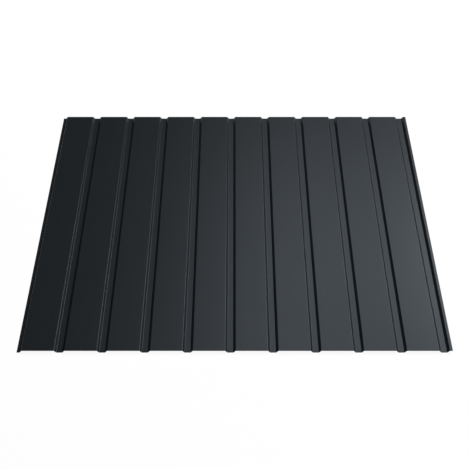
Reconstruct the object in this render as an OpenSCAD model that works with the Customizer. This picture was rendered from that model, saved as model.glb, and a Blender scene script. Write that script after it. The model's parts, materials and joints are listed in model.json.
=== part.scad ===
// Trapezoidal wall and fence sheet, roll-formed from one strip of coated steel.
// Wide flat pans stand up between narrow pressed grooves. The grooves run along Y,
// the sheet's width lies along X, and the groove floors rest on Z = 0.

/* [Sheet] */
// Length of the sheet, along the grooves
sheet_length = 1000; // [200:10:6000]
// Thickness of the coated steel
sheet_thickness = 0.5; // [0.4:0.05:1]

/* [Profile] */
// Number of whole grooves pressed into the sheet
groove_count = 10; // [2:1:12]
// Distance from one groove to the next
groove_pitch = 115; // [90:1:200]
// Overall height, from under the groove floors to the top of the pans
profile_height = 8; // [6:0.5:20]
// Width of a groove at its floor, from corner to corner before rounding
groove_floor = 16; // [12:0.5:40]
// How far each sloping groove wall reaches sideways, from corner to corner
wall_run = 6; // [4:0.25:10]
// Inside radius of the rolled bends
bend_radius = 1.5; // [0.5:0.1:2.5]

/* [Edges] */
// Width of the low flange on the left edge, which lies in the groove of the sheet beside it
left_flange = 8; // [4:0.5:12]
// Width of the high flange on the right edge, which the sheet beside it covers
right_flange = 8; // [4:0.5:20]

/* [Hidden] */

// Flat steps in the outline of each rolled bend
bend_steps = 8;

// The section is drawn along the middle of the sheet's thickness
half_thickness = sheet_thickness / 2;
bend_middle_radius = bend_radius + half_thickness;
floor_z = half_thickness;
pan_z = profile_height - half_thickness;
wall_angle = atan2(pan_z - floor_z, wall_run);

// Sideways reach of a groove from its centre, to the corners of its floor and its mouth
floor_reach = groove_floor / 2;
mouth_reach = floor_reach + wall_run;

// The left flange lies in half a groove, so the whole grooves start one pitch further on
left_reach = left_flange - floor_reach;
sheet_width = left_reach + groove_count * groove_pitch + mouth_reach + right_flange;
first_groove_x = left_reach - sheet_width / 2;

// Each corner is [x, z, slope before it, slope after it], followed from left to right
function groove_down(x) = [
    [x - mouth_reach, pan_z, 0, -wall_angle],
    [x - floor_reach, floor_z, -wall_angle, 0]
];
function groove_up(x) = [
    [x + floor_reach, floor_z, 0, wall_angle],
    [x + mouth_reach, pan_z, wall_angle, 0]
];

function reversed(list) = [for (i = [len(list) - 1 : -1 : 0]) list[i]];

// Direction square to a slope, to its upper side
function square_to(slope) = [-sin(slope), cos(slope)];

// Points round one rolled bend, on the line that lies side above the sheet's middle
function bend(corner, side) =
    let (
        before = corner[2],
        after = corner[3],
        turn = sign(after - before),
        to_centre = bend_middle_radius / cos((after - before) / 2),
        centre = [corner[0], corner[1]] + turn * to_centre * square_to((before + after) / 2)
    )
    [for (i = [0 : bend_steps])
        centre + (side - turn * bend_middle_radius) * square_to(before + (after - before) * i / bend_steps)];

module section() {
    corners = concat(
        groove_up(first_groove_x),
        [for (g = [1 : groove_count])
            let (x = first_groove_x + g * groove_pitch)
            each concat(groove_down(x), groove_up(x))]
    );
    function face(side) = concat(
        [[-sheet_width / 2, floor_z + side]],
        [for (corner = corners) each bend(corner, side)],
        [[sheet_width / 2, pan_z + side]]
    );
    polygon(concat(face(-half_thickness), reversed(face(half_thickness))));
}

module profiled_sheet() {
    color("#383e42")
        rotate([90, 0, 0])
            linear_extrude(height = sheet_length, center = true)
                section();
}

profiled_sheet();
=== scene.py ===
"""Looks of a coated trapezoidal steel sheet: its rolled form, its coatings, its studio and its camera."""

import json
import math
from typing import NamedTuple

import bmesh
import bpy
from bpy.props import FloatProperty, FloatVectorProperty, IntProperty, PointerProperty
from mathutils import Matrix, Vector


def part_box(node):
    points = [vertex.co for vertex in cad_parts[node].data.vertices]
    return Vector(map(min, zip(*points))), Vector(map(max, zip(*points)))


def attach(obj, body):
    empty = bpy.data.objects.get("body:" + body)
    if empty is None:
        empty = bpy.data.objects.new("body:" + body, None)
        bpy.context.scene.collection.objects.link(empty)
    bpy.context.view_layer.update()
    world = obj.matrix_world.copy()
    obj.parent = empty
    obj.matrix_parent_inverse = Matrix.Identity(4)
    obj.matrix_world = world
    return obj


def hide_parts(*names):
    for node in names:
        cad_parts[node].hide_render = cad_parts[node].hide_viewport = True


bl_info = {
    "name": "Trapezoidal Steel Sheet",
    "version": (1, 0, 0),
    "blender": (4, 5, 0),
    "location": "3D View > Sidebar > Steel Sheet",
    "description": "Folds, coats and lights a trapezoidal steel sheet",
    "category": "Mesh",
}

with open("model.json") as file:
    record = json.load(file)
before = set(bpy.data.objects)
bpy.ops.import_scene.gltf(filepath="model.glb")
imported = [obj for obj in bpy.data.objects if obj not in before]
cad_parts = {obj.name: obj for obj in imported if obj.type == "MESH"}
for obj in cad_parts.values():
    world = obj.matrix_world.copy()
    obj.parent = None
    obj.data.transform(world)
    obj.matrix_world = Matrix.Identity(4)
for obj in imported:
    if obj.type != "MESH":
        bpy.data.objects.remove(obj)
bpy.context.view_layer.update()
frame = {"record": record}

SOLID = "profiled_sheet"
BODY = "root"
FINISH_SLOT = "coated_steel"
SHEET_LOW, SHEET_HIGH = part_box(SOLID)
SHEET_SPAN = SHEET_HIGH - SHEET_LOW
SHEET_MIDDLE = (SHEET_LOW + SHEET_HIGH) / 2
COAT_COLOUR = next(m["base_color"] for m in frame["record"]["materials"] if m["slot"] == FINISH_SLOT)

MM = 0.001
NEAR = 0.01 * MM
ACROSS = Vector((1, 0, 0))
ALONG = Vector((0, 1, 0))


def length_property(name, description, default):
    """A length in metres, shown to a hundredth of a millimetre."""
    return FloatProperty(
        name=name, description=description, default=default, min=0.0, precision=5, unit="LENGTH"
    )


def colour_property(name, description, default):
    return FloatVectorProperty(
        name=name, description=description, default=default, size=3, min=0.0, max=1.0, subtype="COLOR"
    )


def share_property(name, description, default):
    """A share between none and all, such as a roughness."""
    return FloatProperty(
        name=name, description=description, default=default, min=0.0, max=1.0, precision=3, subtype="FACTOR"
    )


def angle_property(name, description, degrees):
    return FloatProperty(
        name=name, description=description, default=math.radians(degrees), subtype="ANGLE"
    )


def power_property(name, description, default):
    return FloatProperty(name=name, description=description, default=default, min=0.0, unit="POWER")


class SheetSizes(bpy.types.PropertyGroup):
    """Sizes of the rolled section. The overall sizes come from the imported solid."""

    width: length_property("Width", "Across the grooves, edge to edge", SHEET_SPAN.x)
    length: length_property("Length", "Along the grooves", SHEET_SPAN.y)
    height: length_property("Height", "From under the groove floors to the top of the pans", SHEET_SPAN.z)
    thickness: length_property("Thickness", "Thickness of the coated steel", 0.5 * MM)
    groove_count: IntProperty(name="Grooves", description="Whole grooves", default=10, min=1)
    groove_pitch: length_property("Groove Pitch", "From one groove to the next", 115 * MM)
    groove_floor: length_property("Groove Floor", "Width of a groove's floor between its corners", 16 * MM)
    wall_run: length_property("Wall Run", "How far a groove's wall reaches sideways", 6 * MM)
    bend_radius: length_property("Bend Radius", "Inside radius of the rolled bends", 1.5 * MM)
    left_flange: length_property("Left Flange", "Width of the low flange on the left edge", 8 * MM)
    edge_round: length_property("Edge Round", "Rounding that the shears leave on the cut edges", 0.06 * MM)

    @property
    def floor_reach(self):
        return self.groove_floor / 2

    @property
    def mouth_reach(self):
        return self.floor_reach + self.wall_run

    @property
    def rise(self):
        """Height of the pans' middle surface over that of the groove floors."""
        return self.height - self.thickness

    @property
    def first_groove(self):
        """Middle of the half groove that the left flange lies in."""
        return SHEET_LOW.x + self.left_flange - self.floor_reach

    def bend_lines(self):
        """Where the corners of the section lie across the sheet, before they are rounded."""
        middles = [self.first_groove + g * self.groove_pitch for g in range(self.groove_count + 1)]
        reaches = (-self.mouth_reach, -self.floor_reach, self.floor_reach, self.mouth_reach)
        lines = [middle + reach for middle in middles for reach in reaches]
        return [x for x in lines if SHEET_LOW.x + NEAR < x < SHEET_HIGH.x - NEAR]

    def is_raised(self, x):
        """True where the section stands at the level of the pans."""
        past_groove = (x - self.first_groove + self.groove_pitch / 2) % self.groove_pitch
        return abs(past_groove - self.groove_pitch / 2) > self.mouth_reach - NEAR


class SheetFinish(bpy.types.PropertyGroup):
    """Colours and gloss of the coatings and of the bare cut edges."""

    coat_colour: colour_property("Top Coat", "Anthracite grey coil coating", COAT_COLOUR)
    coat_roughness: share_property("Top Coat Roughness", "How matt the top coat is", 0.34)
    coat_gloss: share_property("Top Coat Gloss", "Strength of the top coat's reflections", 0.57)
    coat_sheen: colour_property("Top Coat Sheen", "Cool tint of those reflections", (0.77, 0.88, 1.0))
    back_colour: colour_property("Backing Coat", "Light grey lacquer on the back", (0.40, 0.415, 0.41))
    back_roughness: share_property("Backing Roughness", "How matt the back is", 0.5)
    edge_colour: colour_property("Cut Edge", "Zinc-coated steel on the cut edges", (0.30, 0.31, 0.32))
    edge_roughness: share_property("Cut Edge Roughness", "How matt the sheared edges are", 0.45)


class StudioSettings(bpy.types.PropertyGroup):
    """Camera, floor and light."""

    view_elevation: angle_property("View Elevation", "How steeply the camera looks down", 45.7)
    view_distance: length_property("View Distance", "From the camera to the point it looks at", 2.8007)
    view_ahead: length_property("View Ahead", "The point looked at, in front of the sheet's middle", 0.0641)
    lens: FloatProperty(
        name="Lens", description="Focal length on a 36 mm sensor", default=71.46, unit="CAMERA"
    )
    floor_colour: colour_property("Floor", "White studio floor", (0.8, 0.8, 0.8))
    floor_reach: length_property("Floor Reach", "Radius of the studio floor", 70.0)
    key_power: power_property("Key Light", "Softbox behind the sheet, on the right", 104.7)
    top_power: power_property("Top Light", "Tall softbox above the sheet's far edge", 35.2)
    fill_power: power_property("Fill Light", "Wide dim softbox in front, on the right", 30)
    surround: colour_property("Surround", "Dim light from all round", (0.002, 0.002, 0.002))


def connect(tree, target, inputs):
    """Sets or links each input of a node that is named or numbered."""
    for name, value in inputs.items():
        if isinstance(value, bpy.types.NodeSocket):
            tree.links.new(value, target.inputs[name])
        else:
            target.inputs[name].default_value = value


def node(tree, kind, inputs=None, **settings):
    """Adds a shader node with its settings and inputs."""
    made = tree.nodes.new("ShaderNode" + kind)
    for name, value in settings.items():
        setattr(made, name, value)
    connect(tree, made, inputs or {})
    return made


def math_node(tree, operation, *values):
    return node(tree, "Math", dict(enumerate(values)), operation=operation).outputs[0]


def total(tree, value, *changes):
    """A value with all its changes added."""
    for change in changes:
        value = math_node(tree, "ADD", value, change)
    return value


def noise(tree, vector, scale, detail):
    """Cloudy noise from 0 to 1, with about scale lumps to the metre."""
    inputs = {"Vector": vector, "Scale": scale, "Detail": detail}
    return node(tree, "TexNoise", inputs).outputs[0]


def swing(tree, value, amount):
    """Turns noise into a change of up to half the amount, up or down."""
    return math_node(tree, "MULTIPLY", math_node(tree, "SUBTRACT", value, 0.5), amount)


def shaded(tree, colour, tone):
    """A colour made lighter or darker by a factor."""
    return node(tree, "VectorMath", {"Vector": colour, "Scale": tone}, operation="SCALE").outputs[0]


def bumped(tree, height, depth):
    """A normal for a relief of the given depth in metres."""
    return node(tree, "Bump", {"Height": height, "Strength": 1, "Distance": depth}).outputs[0]


def new_material(name):
    """An empty node material and its output."""
    material = bpy.data.materials.new(name)
    material.use_nodes = True
    tree = material.node_tree
    tree.nodes.clear()
    return material, tree, node(tree, "OutputMaterial")


def finish_material(name):
    """A material with a Principled shader, and the sheet's own coordinates for its patterns."""
    material, tree, output = new_material(name)
    shader = node(tree, "BsdfPrincipled")
    tree.links.new(shader.outputs[0], output.inputs["Surface"])
    place = node(tree, "TexCoord").outputs["Object"]
    return material, tree, shader, place


def shader_group(name, inputs, outputs):
    """An empty shader node group with named sockets, and the sockets inside it."""
    tree = bpy.data.node_groups.new(name, "ShaderNodeTree")
    for sockets, way in ((inputs, "INPUT"), (outputs, "OUTPUT")):
        for socket, kind in sockets.items():
            tree.interface.new_socket(name=socket, in_out=way, socket_type="NodeSocket" + kind)
    given = tree.nodes.new("NodeGroupInput").outputs
    made = tree.nodes.new("NodeGroupOutput").inputs
    return tree, given, made


CLOUDS_PER_METRE = 7
STREAKS_ACROSS, STREAKS_ALONG = 130, 1.3
PEEL_PER_METRE = 160
GRAIN_PER_METRE = 700
GRAIN_SHARE = 0.25
CLOUD_ROUGHNESS = 0.04
STREAK_ROUGHNESS = 0.05


def coil_coat_group():
    """Faint clouds, lengthwise streaks and fine texture, as coating rollers leave them on a strip."""
    tree, given, made = shader_group(
        "Coil Coat",
        {"Vector": "Vector", "Colour": "Color", "Roughness": "Float", "Clouds": "Float", "Streaks": "Float"},
        {"Colour": "Color", "Roughness": "Float", "Height": "Float"},
    )
    place = given["Vector"]
    clouds = noise(tree, place, CLOUDS_PER_METRE, detail=3)
    scale = (STREAKS_ACROSS, STREAKS_ALONG, STREAKS_ACROSS)
    lengthwise = node(tree, "Mapping", {"Vector": place, "Scale": scale}).outputs[0]
    streaks = noise(tree, lengthwise, scale=1, detail=2)
    peel = noise(tree, place, PEEL_PER_METRE, detail=2)
    grain = noise(tree, place, GRAIN_PER_METRE, detail=1)

    tone = total(tree, 1, swing(tree, clouds, given["Clouds"]), swing(tree, streaks, given["Streaks"]))
    roughness = total(
        tree,
        given["Roughness"],
        swing(tree, clouds, CLOUD_ROUGHNESS),
        swing(tree, streaks, STREAK_ROUGHNESS),
    )
    texture = total(tree, peel, math_node(tree, "MULTIPLY", grain, GRAIN_SHARE))
    tree.links.new(shaded(tree, given["Colour"], tone), made["Colour"])
    tree.links.new(roughness, made["Roughness"])
    tree.links.new(texture, made["Height"])
    return tree


def coil_coat(tree, group, place, colour, roughness, clouds, streaks):
    """Places the coil coat in a material, with its own colour, gloss and unevenness."""
    inputs = {
        "Vector": place,
        "Colour": (*colour, 1),
        "Roughness": roughness,
        "Clouds": clouds,
        "Streaks": streaks,
    }
    return node(tree, "Group", inputs, node_tree=group).outputs


TOP_CLOUDS, TOP_STREAKS = 0.06, 0.04
TOP_PEEL_DEPTH = 0.008 * MM


def anthracite_coating(finish, group):
    """Satin anthracite top coat."""
    material, tree, shader, place = finish_material("anthracite_coating")
    coat = coil_coat(
        tree, group, place, finish.coat_colour, finish.coat_roughness, TOP_CLOUDS, TOP_STREAKS
    )
    look = {
        "Base Color": coat["Colour"],
        "Roughness": coat["Roughness"],
        "Specular IOR Level": finish.coat_gloss,
        "Specular Tint": (*finish.coat_sheen, 1),
        "Normal": bumped(tree, coat["Height"], TOP_PEEL_DEPTH),
    }
    connect(tree, shader, look)
    return material


RUB_WIDTH = 2.5 * MM
RUBS_PER_METRE = 25


def roller_rub(tree, place, sizes):
    """A patchy mask of the lines along the bends, where the forming rollers press hardest."""
    across = node(tree, "SeparateXYZ", {"Vector": place}).outputs["X"]
    from_first = math_node(tree, "SUBTRACT", across, sizes.first_groove)
    from_groove = math_node(tree, "PINGPONG", from_first, sizes.groove_pitch / 2)
    lines = []
    for reach in (sizes.floor_reach, sizes.mouth_reach):
        away = math_node(tree, "ABSOLUTE", math_node(tree, "SUBTRACT", from_groove, reach))
        fade = {"Value": away, "From Min": 0, "From Max": RUB_WIDTH, "To Min": 1, "To Max": 0}
        lines.append(node(tree, "MapRange", fade, interpolation_type="SMOOTHSTEP").outputs[0])
    patches = noise(tree, place, RUBS_PER_METRE, detail=2)
    return math_node(tree, "MULTIPLY", math_node(tree, "MAXIMUM", *lines), patches)


BACK_CLOUDS, BACK_STREAKS = 0.12, 0.10
BACK_PEEL_DEPTH = 0.006 * MM
SPANGLES_PER_METRE = 110
SPANGLE_CONTRAST = 0.05
RUB_DARKENING = 0.15
RUB_POLISH = 0.12


def grey_backing(finish, group, sizes):
    """Thin grey lacquer on the back, over faint zinc spangle, rubbed along the bends."""
    material, tree, shader, place = finish_material("grey_backing")
    coat = coil_coat(
        tree, group, place, finish.back_colour, finish.back_roughness, BACK_CLOUDS, BACK_STREAKS
    )
    rub = roller_rub(tree, place, sizes)
    cells = node(tree, "TexVoronoi", {"Vector": place, "Scale": SPANGLES_PER_METRE})
    spangle = node(tree, "SeparateColor", {"Color": cells.outputs["Color"]}).outputs[0]
    darker = math_node(tree, "MULTIPLY", rub, -RUB_DARKENING)
    smoother = math_node(tree, "MULTIPLY", rub, -RUB_POLISH)
    tone = total(tree, 1, swing(tree, spangle, SPANGLE_CONTRAST), darker)
    look = {
        "Base Color": shaded(tree, coat["Colour"], tone),
        "Roughness": total(tree, coat["Roughness"], smoother),
        "Normal": bumped(tree, coat["Height"], BACK_PEEL_DEPTH),
    }
    connect(tree, shader, look)
    return material


SMEARS_PER_METRE, SMEAR_CONTRAST, SMEAR_ROUGHNESS = 260, 0.5, 0.3
TEARS_PER_METRE, TEAR_CONTRAST, TEAR_DEPTH = 2200, 0.3, 0.02 * MM


def zinc_cut_edge(finish):
    """Sheared edge: bare steel smeared with zinc, in short bright and dull patches."""
    material, tree, shader, place = finish_material("zinc_cut_edge")
    smear = noise(tree, place, SMEARS_PER_METRE, detail=3)
    tear = noise(tree, place, TEARS_PER_METRE, detail=2)
    tone = total(tree, 1, swing(tree, smear, SMEAR_CONTRAST), swing(tree, tear, TEAR_CONTRAST))
    look = {
        "Base Color": shaded(tree, finish.edge_colour, tone),
        "Roughness": total(tree, finish.edge_roughness, swing(tree, smear, SMEAR_ROUGHNESS)),
        "Metallic": 1,
        "Normal": bumped(tree, tear, TEAR_DEPTH),
    }
    connect(tree, shader, look)
    return material


def edit(sheet):
    bpy.context.view_layer.objects.active = sheet
    bpy.ops.object.mode_set(mode="EDIT")


def pick(sheet, kind, wanted):
    """Selects only the sheet's vertices, edges or faces that are wanted, in edit mode."""
    bpy.ops.mesh.select_mode(type=kind)
    bpy.ops.mesh.select_all(action="DESELECT")
    form = bmesh.from_edit_mesh(sheet.data)
    for item in {"VERT": form.verts, "EDGE": form.edges, "FACE": form.faces}[kind]:
        if wanted(item):
            item.select_set(True)
    bmesh.update_edit_mesh(sheet.data)


def cut_across(axis, places):
    """Cuts the whole mesh in edit mode by planes square to an axis."""
    for place in places:
        bpy.ops.mesh.select_all(action="SELECT")
        bpy.ops.mesh.bisect(plane_co=axis * place, plane_no=axis)


def apply_modifier(sheet, kind, **settings):
    modifier = sheet.modifiers.new(kind.title(), kind)
    for name, value in settings.items():
        setattr(modifier, name, value)
    bpy.ops.object.modifier_apply(modifier=modifier.name)


BEND_STEPS = 8
LENGTH_STEPS = 20
RIM_STEPS = 2
# Only the cut rims turn more sharply than this, and not the steps of a bend.
RIM_ANGLE = math.radians(60)


def fold_sheet(sizes):
    """Folds a flat blank into the section, rounds its bends and gives it its thickness."""
    bpy.ops.object.select_all(action="DESELECT")
    floor_middle = SHEET_LOW.z + sizes.thickness / 2
    bpy.ops.mesh.primitive_plane_add(size=1, location=(SHEET_MIDDLE.x, SHEET_MIDDLE.y, floor_middle))
    bpy.ops.transform.resize(value=(sizes.width, sizes.length, 1))
    bpy.ops.object.transform_apply(location=True, rotation=True, scale=True)
    sheet = bpy.context.active_object
    sheet.name = sheet.data.name = "coated_sheet"

    edit(sheet)
    cut_across(ACROSS, sizes.bend_lines())
    pick(sheet, "VERT", lambda vertex: sizes.is_raised(vertex.co.x))
    bpy.ops.transform.translate(value=(0, 0, sizes.rise))

    wall_angle = math.atan2(sizes.rise, sizes.wall_run)
    middle_radius = sizes.bend_radius + sizes.thickness / 2
    pick(sheet, "EDGE", lambda edge: not edge.is_boundary)
    bpy.ops.mesh.bevel(offset=middle_radius * math.tan(wall_angle / 2), segments=BEND_STEPS)
    step = sizes.length / LENGTH_STEPS
    cut_across(ALONG, [SHEET_LOW.y + step * i for i in range(1, LENGTH_STEPS)])
    bpy.ops.object.mode_set(mode="OBJECT")

    apply_modifier(sheet, "SOLIDIFY", thickness=sizes.thickness, offset=0, use_even_offset=True)
    apply_modifier(
        sheet,
        "BEVEL",
        width=sizes.edge_round,
        segments=RIM_STEPS,
        limit_method="ANGLE",
        angle_limit=RIM_ANGLE,
        use_clamp_overlap=False,
    )
    return sheet


def require_closed(sheet):
    """Stops the script where the sheet's skin has a hole, a loose edge or a fold inside it."""
    form = bmesh.new()
    form.from_mesh(sheet.data)
    open_edges = sum(not edge.is_manifold for edge in form.edges)
    form.free()
    if open_edges:
        raise RuntimeError(f"{sheet.name} has {open_edges} edges that don't join two faces")


# A face whose normal rises or falls by more than this is on the top or the back, walls included.
UPWARD = 0.5
SMOOTH_ANGLE = math.radians(30)
WIDE_FACES_LEAD = 100


def coat_sheet(sheet, sizes, finish):
    """Gives the top, the back and the cut edges their own materials, and shades the bends smooth."""
    group = coil_coat_group()
    sides = [
        (anthracite_coating(finish, group), lambda z: z > UPWARD),
        (grey_backing(finish, group, sizes), lambda z: z < -UPWARD),
        (zinc_cut_edge(finish), lambda z: abs(z) <= UPWARD),
    ]
    edit(sheet)
    for index, (material, is_side) in enumerate(sides):
        sheet.data.materials.append(material)
        pick(sheet, "FACE", lambda face: is_side(face.normal.z))
        sheet.active_material_index = index
        bpy.ops.object.material_slot_assign()
    bpy.ops.object.mode_set(mode="OBJECT")
    bpy.ops.object.shade_smooth_by_angle(angle=SMOOTH_ANGLE)
    apply_modifier(sheet, "WEIGHTED_NORMAL", weight=WIDE_FACES_LEAD, keep_sharp=True)


class SHEET_OT_form(bpy.types.Operator):
    """Fold, round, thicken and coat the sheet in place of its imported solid"""

    bl_idname = "steel_sheet.form"
    bl_label = "Form Sheet"

    def execute(self, context):
        sizes = context.scene.sheet_sizes
        sheet = fold_sheet(sizes)
        require_closed(sheet)
        coat_sheet(sheet, sizes, context.scene.sheet_finish)
        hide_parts(SOLID)
        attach(sheet, BODY)
        return {"FINISHED"}


FLOOR_DROP = 0.1 * MM
FLOOR_SIDES = 128
FLOOR_GLOW = 0.92
SEEN_FLOOR_SHADE = 0.35
CONTACT_REACH = 100 * MM


def studio_white(studio):
    """White that the camera and reflections see as white, and that still takes the sheet's shadow.

    Reflections of the floor right beside the sheet show it only as bright as it is lit.
    """
    material, tree, output = new_material("studio_white")
    light = node(tree, "LightPath").outputs
    seen = math_node(tree, "MAXIMUM", light["Is Camera Ray"], light["Is Glossy Ray"])
    seen = math_node(tree, "MAXIMUM", seen, light["Is Transmission Ray"])
    apart = node(tree, "MapRange", {"Value": light["Ray Length"], "From Max": CONTACT_REACH}).outputs[0]
    seen = math_node(tree, "MULTIPLY", seen, apart)
    shade = node(tree, "MapRange", {"Value": seen, "To Min": 1, "To Max": SEEN_FLOOR_SHADE}).outputs[0]
    matt = node(tree, "BsdfDiffuse", {"Color": shaded(tree, studio.floor_colour, shade)})
    glow = node(tree, "Emission", {"Strength": math_node(tree, "MULTIPLY", seen, FLOOR_GLOW)})
    both = node(tree, "AddShader", {0: matt.outputs[0], 1: glow.outputs[0]})
    tree.links.new(both.outputs[0], output.inputs["Surface"])
    return material


def add_floor(studio):
    """Lays a wide white floor just under the sheet."""
    bpy.ops.object.select_all(action="DESELECT")
    level = SHEET_LOW.z - FLOOR_DROP
    bpy.ops.mesh.primitive_circle_add(
        vertices=FLOOR_SIDES, radius=studio.floor_reach, fill_type="NGON", location=(0, 0, level)
    )
    bpy.ops.object.transform_apply(location=True)
    floor = bpy.context.active_object
    floor.name = "studio_floor"
    floor.data.materials.append(studio_white(studio))


class Softbox(NamedTuple):
    """Where a soft lamp stands, in degrees and metres. Bearings turn from the far side to the right."""

    bearing: float
    elevation: float
    distance: float
    width: float
    depth: float


KEY_BOX = Softbox(bearing=42.2, elevation=38.8, distance=6, width=2.3, depth=1.9)
TOP_BOX = Softbox(bearing=9.5, elevation=58.7, distance=6, width=1.45, depth=4.2)
FILL_BOX = Softbox(bearing=150, elevation=35, distance=6, width=4.2, depth=3.0)


def add_softbox(name, box, power):
    """Hangs a soft lamp that is aimed at the sheet's middle."""
    turn, lift = math.radians(box.bearing), math.radians(box.elevation)
    away = Vector((math.cos(lift) * math.sin(turn), math.cos(lift) * math.cos(turn), math.sin(lift)))
    data = bpy.data.lights.new(name, "AREA")
    data.shape = "RECTANGLE"
    data.size = box.width
    data.size_y = box.depth
    data.energy = power
    lamp = bpy.data.objects.new(name, data)
    lamp.location = away * box.distance
    lamp.rotation_euler = (-away).to_track_quat("-Z", "Y").to_euler()
    lamp.visible_camera = False
    bpy.context.scene.collection.objects.link(lamp)


def add_surround(studio):
    """Fills the room with a dim even light."""
    world = bpy.data.worlds.new("studio_surround")
    world.use_nodes = True
    world.node_tree.nodes["Background"].inputs["Color"].default_value = (*studio.surround, 1)
    bpy.context.scene.world = world


def add_camera(studio):
    """Puts the camera in front of the sheet, looking down on it along the grooves."""
    aim = Vector((SHEET_MIDDLE.x, SHEET_MIDDLE.y - studio.view_ahead, SHEET_HIGH.z))
    back = Vector((0, -math.cos(studio.view_elevation), math.sin(studio.view_elevation)))
    data = bpy.data.cameras.new("view")
    data.lens = studio.lens
    camera = bpy.data.objects.new("view", data)
    camera.location = aim + back * studio.view_distance
    camera.rotation_euler = (math.radians(90) - studio.view_elevation, 0, 0)
    bpy.context.scene.collection.objects.link(camera)
    bpy.context.scene.camera = camera


class SHEET_OT_studio(bpy.types.Operator):
    """Set the floor, the lamps and the camera"""

    bl_idname = "steel_sheet.studio"
    bl_label = "Set Studio"

    def execute(self, context):
        studio = context.scene.sheet_studio
        add_floor(studio)
        add_softbox("key_softbox", KEY_BOX, studio.key_power)
        add_softbox("top_softbox", TOP_BOX, studio.top_power)
        add_softbox("fill_softbox", FILL_BOX, studio.fill_power)
        add_surround(studio)
        add_camera(studio)
        context.scene.view_settings.view_transform = "Standard"
        return {"FINISHED"}


class VIEW3D_PT_steel_sheet(bpy.types.Panel):
    """Lists the sheet's sizes, finish and studio"""

    bl_label = "Steel Sheet"
    bl_space_type = "VIEW_3D"
    bl_region_type = "UI"
    bl_category = "Steel Sheet"

    def draw(self, context):
        for group in (context.scene.sheet_sizes, context.scene.sheet_finish, context.scene.sheet_studio):
            box = self.layout.box()
            for name in group.__annotations__:
                box.prop(group, name)
        self.layout.operator(SHEET_OT_form.bl_idname)
        self.layout.operator(SHEET_OT_studio.bl_idname)


CLASSES = (SheetSizes, SheetFinish, StudioSettings, SHEET_OT_form, SHEET_OT_studio, VIEW3D_PT_steel_sheet)


def register():
    for cls in CLASSES:
        bpy.utils.register_class(cls)
    bpy.types.Scene.sheet_sizes = PointerProperty(type=SheetSizes)
    bpy.types.Scene.sheet_finish = PointerProperty(type=SheetFinish)
    bpy.types.Scene.sheet_studio = PointerProperty(type=StudioSettings)


def unregister():
    del bpy.types.Scene.sheet_studio
    del bpy.types.Scene.sheet_finish
    del bpy.types.Scene.sheet_sizes
    for cls in reversed(CLASSES):
        bpy.utils.unregister_class(cls)


def main():
    register()
    bpy.ops.steel_sheet.form()
    bpy.ops.steel_sheet.studio()


if __name__ == "__main__":
    main()
